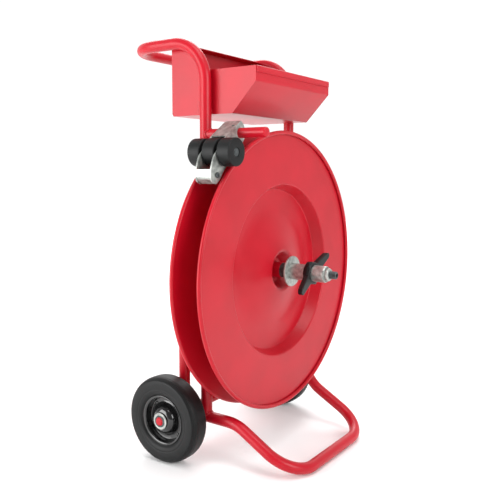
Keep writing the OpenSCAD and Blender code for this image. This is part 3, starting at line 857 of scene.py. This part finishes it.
def notched(start, end, shares, width, depth):
    # points between two others, with a narrow groove cut at each share of the way
    along = (Vector(end) - Vector(start)).normalized()
    inward = Vector((along.y, -along.x)) if along.x < 0 else Vector((-abs(along.y), -along.x))
    points = []
    for share in shares:
        middle = Vector(start).lerp(Vector(end), share)
        edge = along * width / 2
        points += [tuple(middle - edge), tuple(middle + inward * depth), tuple(middle + edge)]
    return points


def tyreOutline(shape):
    outer = sizeMm("left_tyre").z / 2
    outline = [(shape["seat"], 16.2), (shape["bead"], 18.6, 1), (63, 23, 2), (70, 25.2, 2),
               (72, 24.7, 0.6), (74, 25.4, 1.5)]
    shoulder = [(85, 25.9), (91.5, 24.9), (96, 21.6), (98.8, 16.4), (outer, 9.5)]
    for i, (start, end) in enumerate(zip(shoulder, shoulder[1:])):
        outline.append((*start, 5))
        if 0 < i < 4:
            outline += notched(start, end, shape["grooves"], 0.7, shape["groove"])
    outline.append((outer, shoulder[-1][1], 4))
    return outline + [(p[0], -p[1], *p[2:]) for p in reversed(outline)]


def rimOutline(shape):
    # the middle of the pressed sheet, from the hub over the flat joint to the bead
    half = shape["sheet"] / 2
    return [(shape["hub"], 21.4 + half), (26, 21.4 + half, 8), (37, half + 0.05, 5),
            (49.6, half + 0.05, 2), (52.8, 16.9, 1.4), (shape["bead"] - 0.4, 19.6)]


def makeWheel(side):
    name = "left" if side < 0 else "right"
    body, place = name + "_wheel", wheelPlace(side)
    tyre = spinPath(tyreOutline(tyreShape), steps=128)
    finishPiece(name + "Tyre", moved(tyre, place), body, "black_rubber", [name + "_tyre"])
    for half, turn in (("Outer", Matrix()), ("Inner", flipped)):
        bm = moved(spinPath(rimOutline(rimShape), closed=False), place @ turn)
        finishPiece(f"{name}{half}Rim", bm, body, "black_enamel", [f"{name}_{half.lower()}_rim"],
                    thickness=rimShape["sheet"])
    rivets = []
    for turn in (45, 135, 225, 315):
        head = [(0, 3.6), (2.6, 3.4, 0.8), (4, 1.6), (0, 1.6)]
        out = Matrix.Translation((rimShape["rivet"] * mm, 0, 0))
        spot = Matrix.Rotation(math.radians(turn), 4, "Z") @ out
        for flip in (Matrix(), flipped):
            rivets.append(moved(spinPath(head, closed=False, steps=24), place @ spot @ flip))
    finishPiece(name + "Rivets", joined(rivets), body, "black_enamel", [name + "_rim_rivets"])
    hub = spinPath([(14, -23), (16.8, -23, 0.5), (16.8, 23, 0.5), (14, 23)])
    finishPiece(name + "Hub", moved(hub, place), body, "black_enamel", [name + "_wheel_hub"])
    bush = [(10.1, 9), (13.9, 9), (13.9, 23.05), (16.8, 23.05), (16.8, 24.5, 0.4),
            (10.1, 24.5, 0.3)]
    bushes = [moved(spinPath(bush), place @ turn) for turn in (Matrix(), flipped)]
    finishPiece(name + "Bushes", joined(bushes), body, "grey_plastic", [name + "_wheel_bushes"])


def makeAxle():
    low, high = boxMm("wheel_axle")
    radius, half = (high.z - low.z) / 2, high.x
    place = wheelPlace(1) @ Matrix.Translation((0, 0, -wheelPlace(1).translation.x))
    end = radius - 1.6
    outline = [(0, -half), (end, -half, 0.8), (radius, 3 - half, 0.5), (radius, half - 3, 0.5),
               (end, half, 0.8), (0, half)]
    bm = moved(spinPath(outline, closed=False), place)
    finishPiece("wheelAxle", bm, "frame", "red_paint", ["wheel_axle"])
    for name, node, wide, slotName, rounding in (
            ("wheelSpacers", "wheel_spacers", 22.8, "zinc_plate", 0.4),
            ("wheelWashers", "wheel_washers", 2.4, "zinc_plate", 0.7),
            ("wheelSnapRings", "wheel_snap_rings", 1.5, "dark_steel", 0.4)):
        edge, outer, inner = boxMm(node)[1].x, sizeMm(node).z / 2, radius + 0.1
        rings = []
        for side in (-1, 1):
            near, far = sorted((side * edge, side * (edge - wide)))
            rings.append(spinPath([(inner, near), (outer, near, rounding), (outer, far, rounding),
                                   (inner, far)]))
        finishPiece(name, moved(joined(rings), place), "frame", slotName, [node])


makeAxle()
for wheelSide in (-1, 1):
    makeWheel(wheelSide)
print("wheels made")


# tool box
boxShape = {
    "sheet": 2,
    "fold": 2.2,
    "lip": 887,  # height of the front lip
    "knee": (-61.4, 855),  # how far back the sloped front ends, and how high it starts
    "hem": 13,
    "hemGap": 0.2,
}


def makeBox(shape):
    low, high = boxMm("box_tray")
    sideLow, sideHigh = boxMm("box_left_side")
    sheet, lip, fold = shape["sheet"], shape["lip"], shape["fold"]
    front, back = sideLow.y + sheet / 2, sideHigh.y - sheet / 2
    floor, top = sideLow.z + sheet / 2, sideHigh.z - sheet / 2
    kneeIn, kneeUp = shape["knee"]
    path = [(front, lip), (front, kneeUp + 0.6, fold), (kneeIn, floor, fold), (back, floor, fold),
            (back, top, fold), (back - 30, top)]
    width = high.x - low.x
    turn = Matrix(((0, -1, 0, 0), (1, 0, 0, 0), (0, 0, 1, 0), (0, 0, 0, 1)))
    finishPiece("boxTray", moved(foldSheet(path, width), turn), "frame", "red_paint", ["box_tray"],
                thickness=sheet, edge=0.35)
    inner = front - sheet - shape["hemGap"]
    hem = [(front + 0.4, lip - 1), (front - 0.2, lip - 0.1, 0.5), (inner, lip - 1, 0.8),
           (inner, lip - shape["hem"])]
    finishPiece("boxHem", moved(foldSheet(hem, width), turn), "frame", "red_paint", [],
                thickness=sheet * 0.98, edge=0.3)


def makeBoxSides(shape, bend):
    # each side's top rear edge follows the bend of the upright that it is welded to
    sheet, lip = shape["sheet"], shape["lip"]
    for side, name in ((-1, "left"), (1, "right")):
        node = f"box_{name}_side"
        low, high = boxMm(node)
        outline = [(low.y, lip, 1), (low.y, shape["knee"][1], 1), (shape["knee"][0] - 0.6, low.z, 1),
                   (high.y - 5, low.z), (high.y, low.z + 5), (high.y, high.z, 1)]
        for i in range(6):
            turn = math.radians(5 + 10 * i)
            drop = bend * (1 - math.cos(turn))
            outline.append((bend * (1 - math.sin(turn)), high.z - sheet - drop, 3))
        outline.append((10, lip, 3))
        face = low.x if side < 0 else high.x - sheet
        turn = Matrix(((0, 0, 1, face * mm), (1, 0, 0, 0), (0, 1, 0, 0), (0, 0, 0, 1)))
        finishPiece(f"box{name.title()}Side", moved(cutPlate(outline, [], sheet), turn), "frame",
                    "red_paint", [node], edge=0.4)


makeBox(boxShape)
makeBoxSides(boxShape, frameTube["handleBend"])
print("tool box made")


# brake lever
leverShape = {
    "sheet": 3,
    "outline": [(-171, 773, 4), (-160, 762, 4), (-156, 740, 5), (-164, 728, 5), (-205, 691.5, 8),
                (-235, 664, 4), (-246, 648, 4), (-259, 638, 3), (-271, 641, 4), (-276, 650, 4),
                (-276, 669, 5), (-267, 695, 8), (-224, 738, 6)],
    "pivotHole": 14,
    "pin": (-256, 657, 4),
    "webEnds": ((-223, 738.6), (-172.2, 772.2)),
    "webHole": 3.5,
    "guide": [(-274.2, 669), (-274.2, 649.5, 5), (-257.5, 639.8)],
    "guideSheet": 2.5,
}


def makeLeverBar():
    low, high = boxMm("lever_bar")
    radius, front = (high.x - low.x) / 2, -boxMm("lever_bar_cap")[0].y
    outline = [(0, 6), (radius, 6), (radius, front, 5), (0, front)]
    finishPiece("leverBar", moved(spinPath(outline, closed=False), barPlace), "frame", "red_paint",
                ["lever_bar", "lever_bar_cap"])


def makeLever(shape):
    low, high = boxMm("lever_bracket")
    sheet, rear, front = shape["sheet"], -high.y, -low.y
    rollerX, rollerZ = rollerAt.x / mm, rollerAt.z / mm
    pivotX, pivotZ = leverAt.x / mm, leverAt.z / mm
    holes = [(pivotX, pivotZ, shape["pivotHole"]), (rollerX, rollerZ, 6), shape["pin"]]
    plates = []
    for start in (rear, front - sheet):
        plate = cutPlate(shape["outline"], holes, sheet)
        plates.append(moved(plate, Matrix.Translation((0, 0, start * mm))))
    webLow, webTop = (Vector(end) for end in shape["webEnds"])
    run = webTop - webLow
    wide = front - rear - 2 * sheet
    hole = (run.length * 0.67, wide * 0.85, shape["webHole"])
    web = cutPlate([(0, 0), (run.length, 0), (run.length, wide), (0, wide)], [hole], sheet)
    along = Vector((run.x, run.y, 0)).normalized()
    normal = Vector((along.y, -along.x, 0))
    webPlace = Matrix((along, (0, 0, 1), normal)).transposed().to_4x4()
    webPlace.translation = Vector((webLow.x, webLow.y, rear + sheet)) * mm
    plates.append(moved(web, webPlace))
    finishPiece("leverBracket", moved(joined(plates), toFront), "lever", "zinc_plate",
                ["lever_bracket"], edge=0.5)
    guide = foldSheet(shape["guide"], wide)
    middle = Matrix.Translation((0, -(rear + front) / 2 * mm, 0))
    finishPiece("strapGuide", moved(guide, middle), "lever", "zinc_plate", ["strap_guide"],
                thickness=shape["guideSheet"], edge=0.4)
    sleeve = spinPath([(11.1, rear), (14, rear, 0.4), (14, front, 0.4), (11.1, front)])
    finishPiece("leverSleeve", moved(sleeve, barPlace), "lever", "zinc_plate", ["lever_sleeve"])
    pinX, pinZ, pinRadius = shape["pin"]
    pin = [(0, rear - 2), (pinRadius, rear - 2, 0.6), (pinRadius, front + 0.1), (6, front + 0.1, 0.6),
           (6, front + 3, 1), (2.4, front + 3, 0.3), (2.4, front + 1.2), (0, front + 1.2)]
    pinPlace = Matrix.Translation(Vector((pinX, 0, pinZ)) * mm) @ toFront
    bm = moved(spinPath(pin, closed=False, steps=40), pinPlace)
    finishPiece("guidePin", bm, "lever", "dark_steel", ["guide_pin"])


def makeRollers():
    low, high = boxMm("roller_axle")
    reach = (high.y - low.y) / 2
    outline = [(0, -reach), (6, -reach, 0.8), (6, reach, 0.8), (0, reach)]
    axle = spinPath(outline, closed=False, steps=48)
    # the roller axle gets the dark oiled-steel finish instead of zinc plate as painted shade: its end
    # sits in the front roller's recess, where shade falls
    finishPiece("rollerAxlePaintedShade", moved(axle, rollerPlace), "lever", "dark_steel", ["roller_axle"])
    rings = []
    for start in (0.9 - reach, reach - 2.1):
        end = start + 1.2
        rings.append(spinPath([(6.1, start), (9, start, 0.3), (9, end, 0.3), (6.1, end)], steps=48))
    finishPiece("rollerSnapRings", moved(joined(rings), rollerPlace), "lever", "dark_steel",
                ["roller_snap_rings"])
    for name in ("front", "middle", "rear"):
        low, high = boxMm(name + "_roller")
        radius, half = (high.z - low.z) / 2, (high.y - low.y) / 2
        recess = [(6.1, half - 3.5), (9.8, half - 3.5), (9.8, half, 0.5), (10.9, half - 0.5),
                  (12, half, 0.3)]
        plain = [(6.1, half, 0.5), (12, half, 0.3)]
        outer = recess if name == "front" else plain
        inner = recess if name == "rear" else plain
        outline = outer + [(radius, half, 2.2), (radius, -half, 2.2)]
        outline += [(p[0], -p[1], *p[2:]) for p in reversed(inner)]
        middle = Matrix.Translation((rollerAt.x, (low.y + high.y) / 2 * mm, rollerAt.z))
        bm = moved(spinPath(outline), middle @ toFront)
        finishPiece(name + "Roller", bm, name + "_roller", "black_rubber", [name + "_roller"])


makeLeverBar()
makeLever(leverShape)
makeRollers()
print("lever made")


# floor and light
studio = {
    "sky": "#FFFFFF",
    "skyBehind": 1.05,  # brightness of the white sweep behind the cart
    "skyFront": 0.42,  # brightness of the dim side of the room
    "behind": (0.82, 0.57, 0.0),
    "key": {"at": (-2.5, 1.3, 0.9), "size": 1.8, "power": 70.0},
    "front": {"at": (-0.6, -3.2, 1.6), "size": 1.6, "power": 62.0},
    "top": {"at": (-0.5, -0.6, 2.7), "size": 1.3, "power": 24.0},
    "back": {"at": (4.6, 3.2, 5.0), "aim": (4.6, 3.2, 0), "size": 5.0, "power": 420.0},
    "floor": "#FBFBFB",
    "floorHalf": 7,  # metres from its middle to its edge
}


def addLight(name, look):
    lamp = bpy.data.lights.new(name, "AREA")
    lamp.shape, lamp.size, lamp.energy = "SQUARE", look["size"], look["power"]
    light = bpy.data.objects.new(name, lamp)
    bpy.context.scene.collection.objects.link(light)
    light.location = look["at"]
    facing = Vector(look.get("aim", (0, 0, 0.5))) - Vector(look["at"])
    light.rotation_euler = facing.to_track_quat("-Z", "Y").to_euler()


def makeStudio(look):
    world = bpy.data.worlds.new("studio")
    bpy.context.scene.world = world
    world.use_nodes = True
    sky = world.node_tree.nodes["Background"]
    sky.inputs["Color"].default_value = hexColour(look["sky"])
    tree = world.node_tree
    toward = addNode(tree, "ShaderNodeVectorMath", {"operation": "DOT_PRODUCT"})
    toward.inputs[1].default_value = look["behind"]
    tree.links.new(addNode(tree, "ShaderNodeTexCoord").outputs["Generated"], toward.inputs[0])
    level = addNode(tree, "ShaderNodeMapRange",
                    {"From Min": -0.2, "From Max": 0.7, "To Min": look["skyFront"],
                     "To Max": look["skyBehind"]}, {"Value": toward.outputs["Value"]})
    tree.links.new(level.outputs["Result"], sky.inputs["Strength"])
    for name in ("key", "front", "top", "back"):
        addLight(name, look[name])
    bm = bmesh.new()
    bmesh.ops.create_grid(bm, x_segments=1, y_segments=1, size=look["floorHalf"])
    mesh = bpy.data.meshes.new("floor")
    bm.to_mesh(mesh)
    bm.free()
    paper = bpy.data.materials.new("whitePaper")
    paper.use_nodes = True
    shader = paper.node_tree.nodes["Principled BSDF"]
    shader.inputs["Base Color"].default_value = hexColour(look["floor"])
    shader.inputs["Roughness"].default_value = 0.9
    mesh.materials.append(paper)
    floor = bpy.data.objects.new("floor", mesh)
    floor.location.z = -0.0005
    bpy.context.scene.collection.objects.link(floor)


makeStudio(studio)
bpy.context.scene.view_settings.view_transform = "Standard"
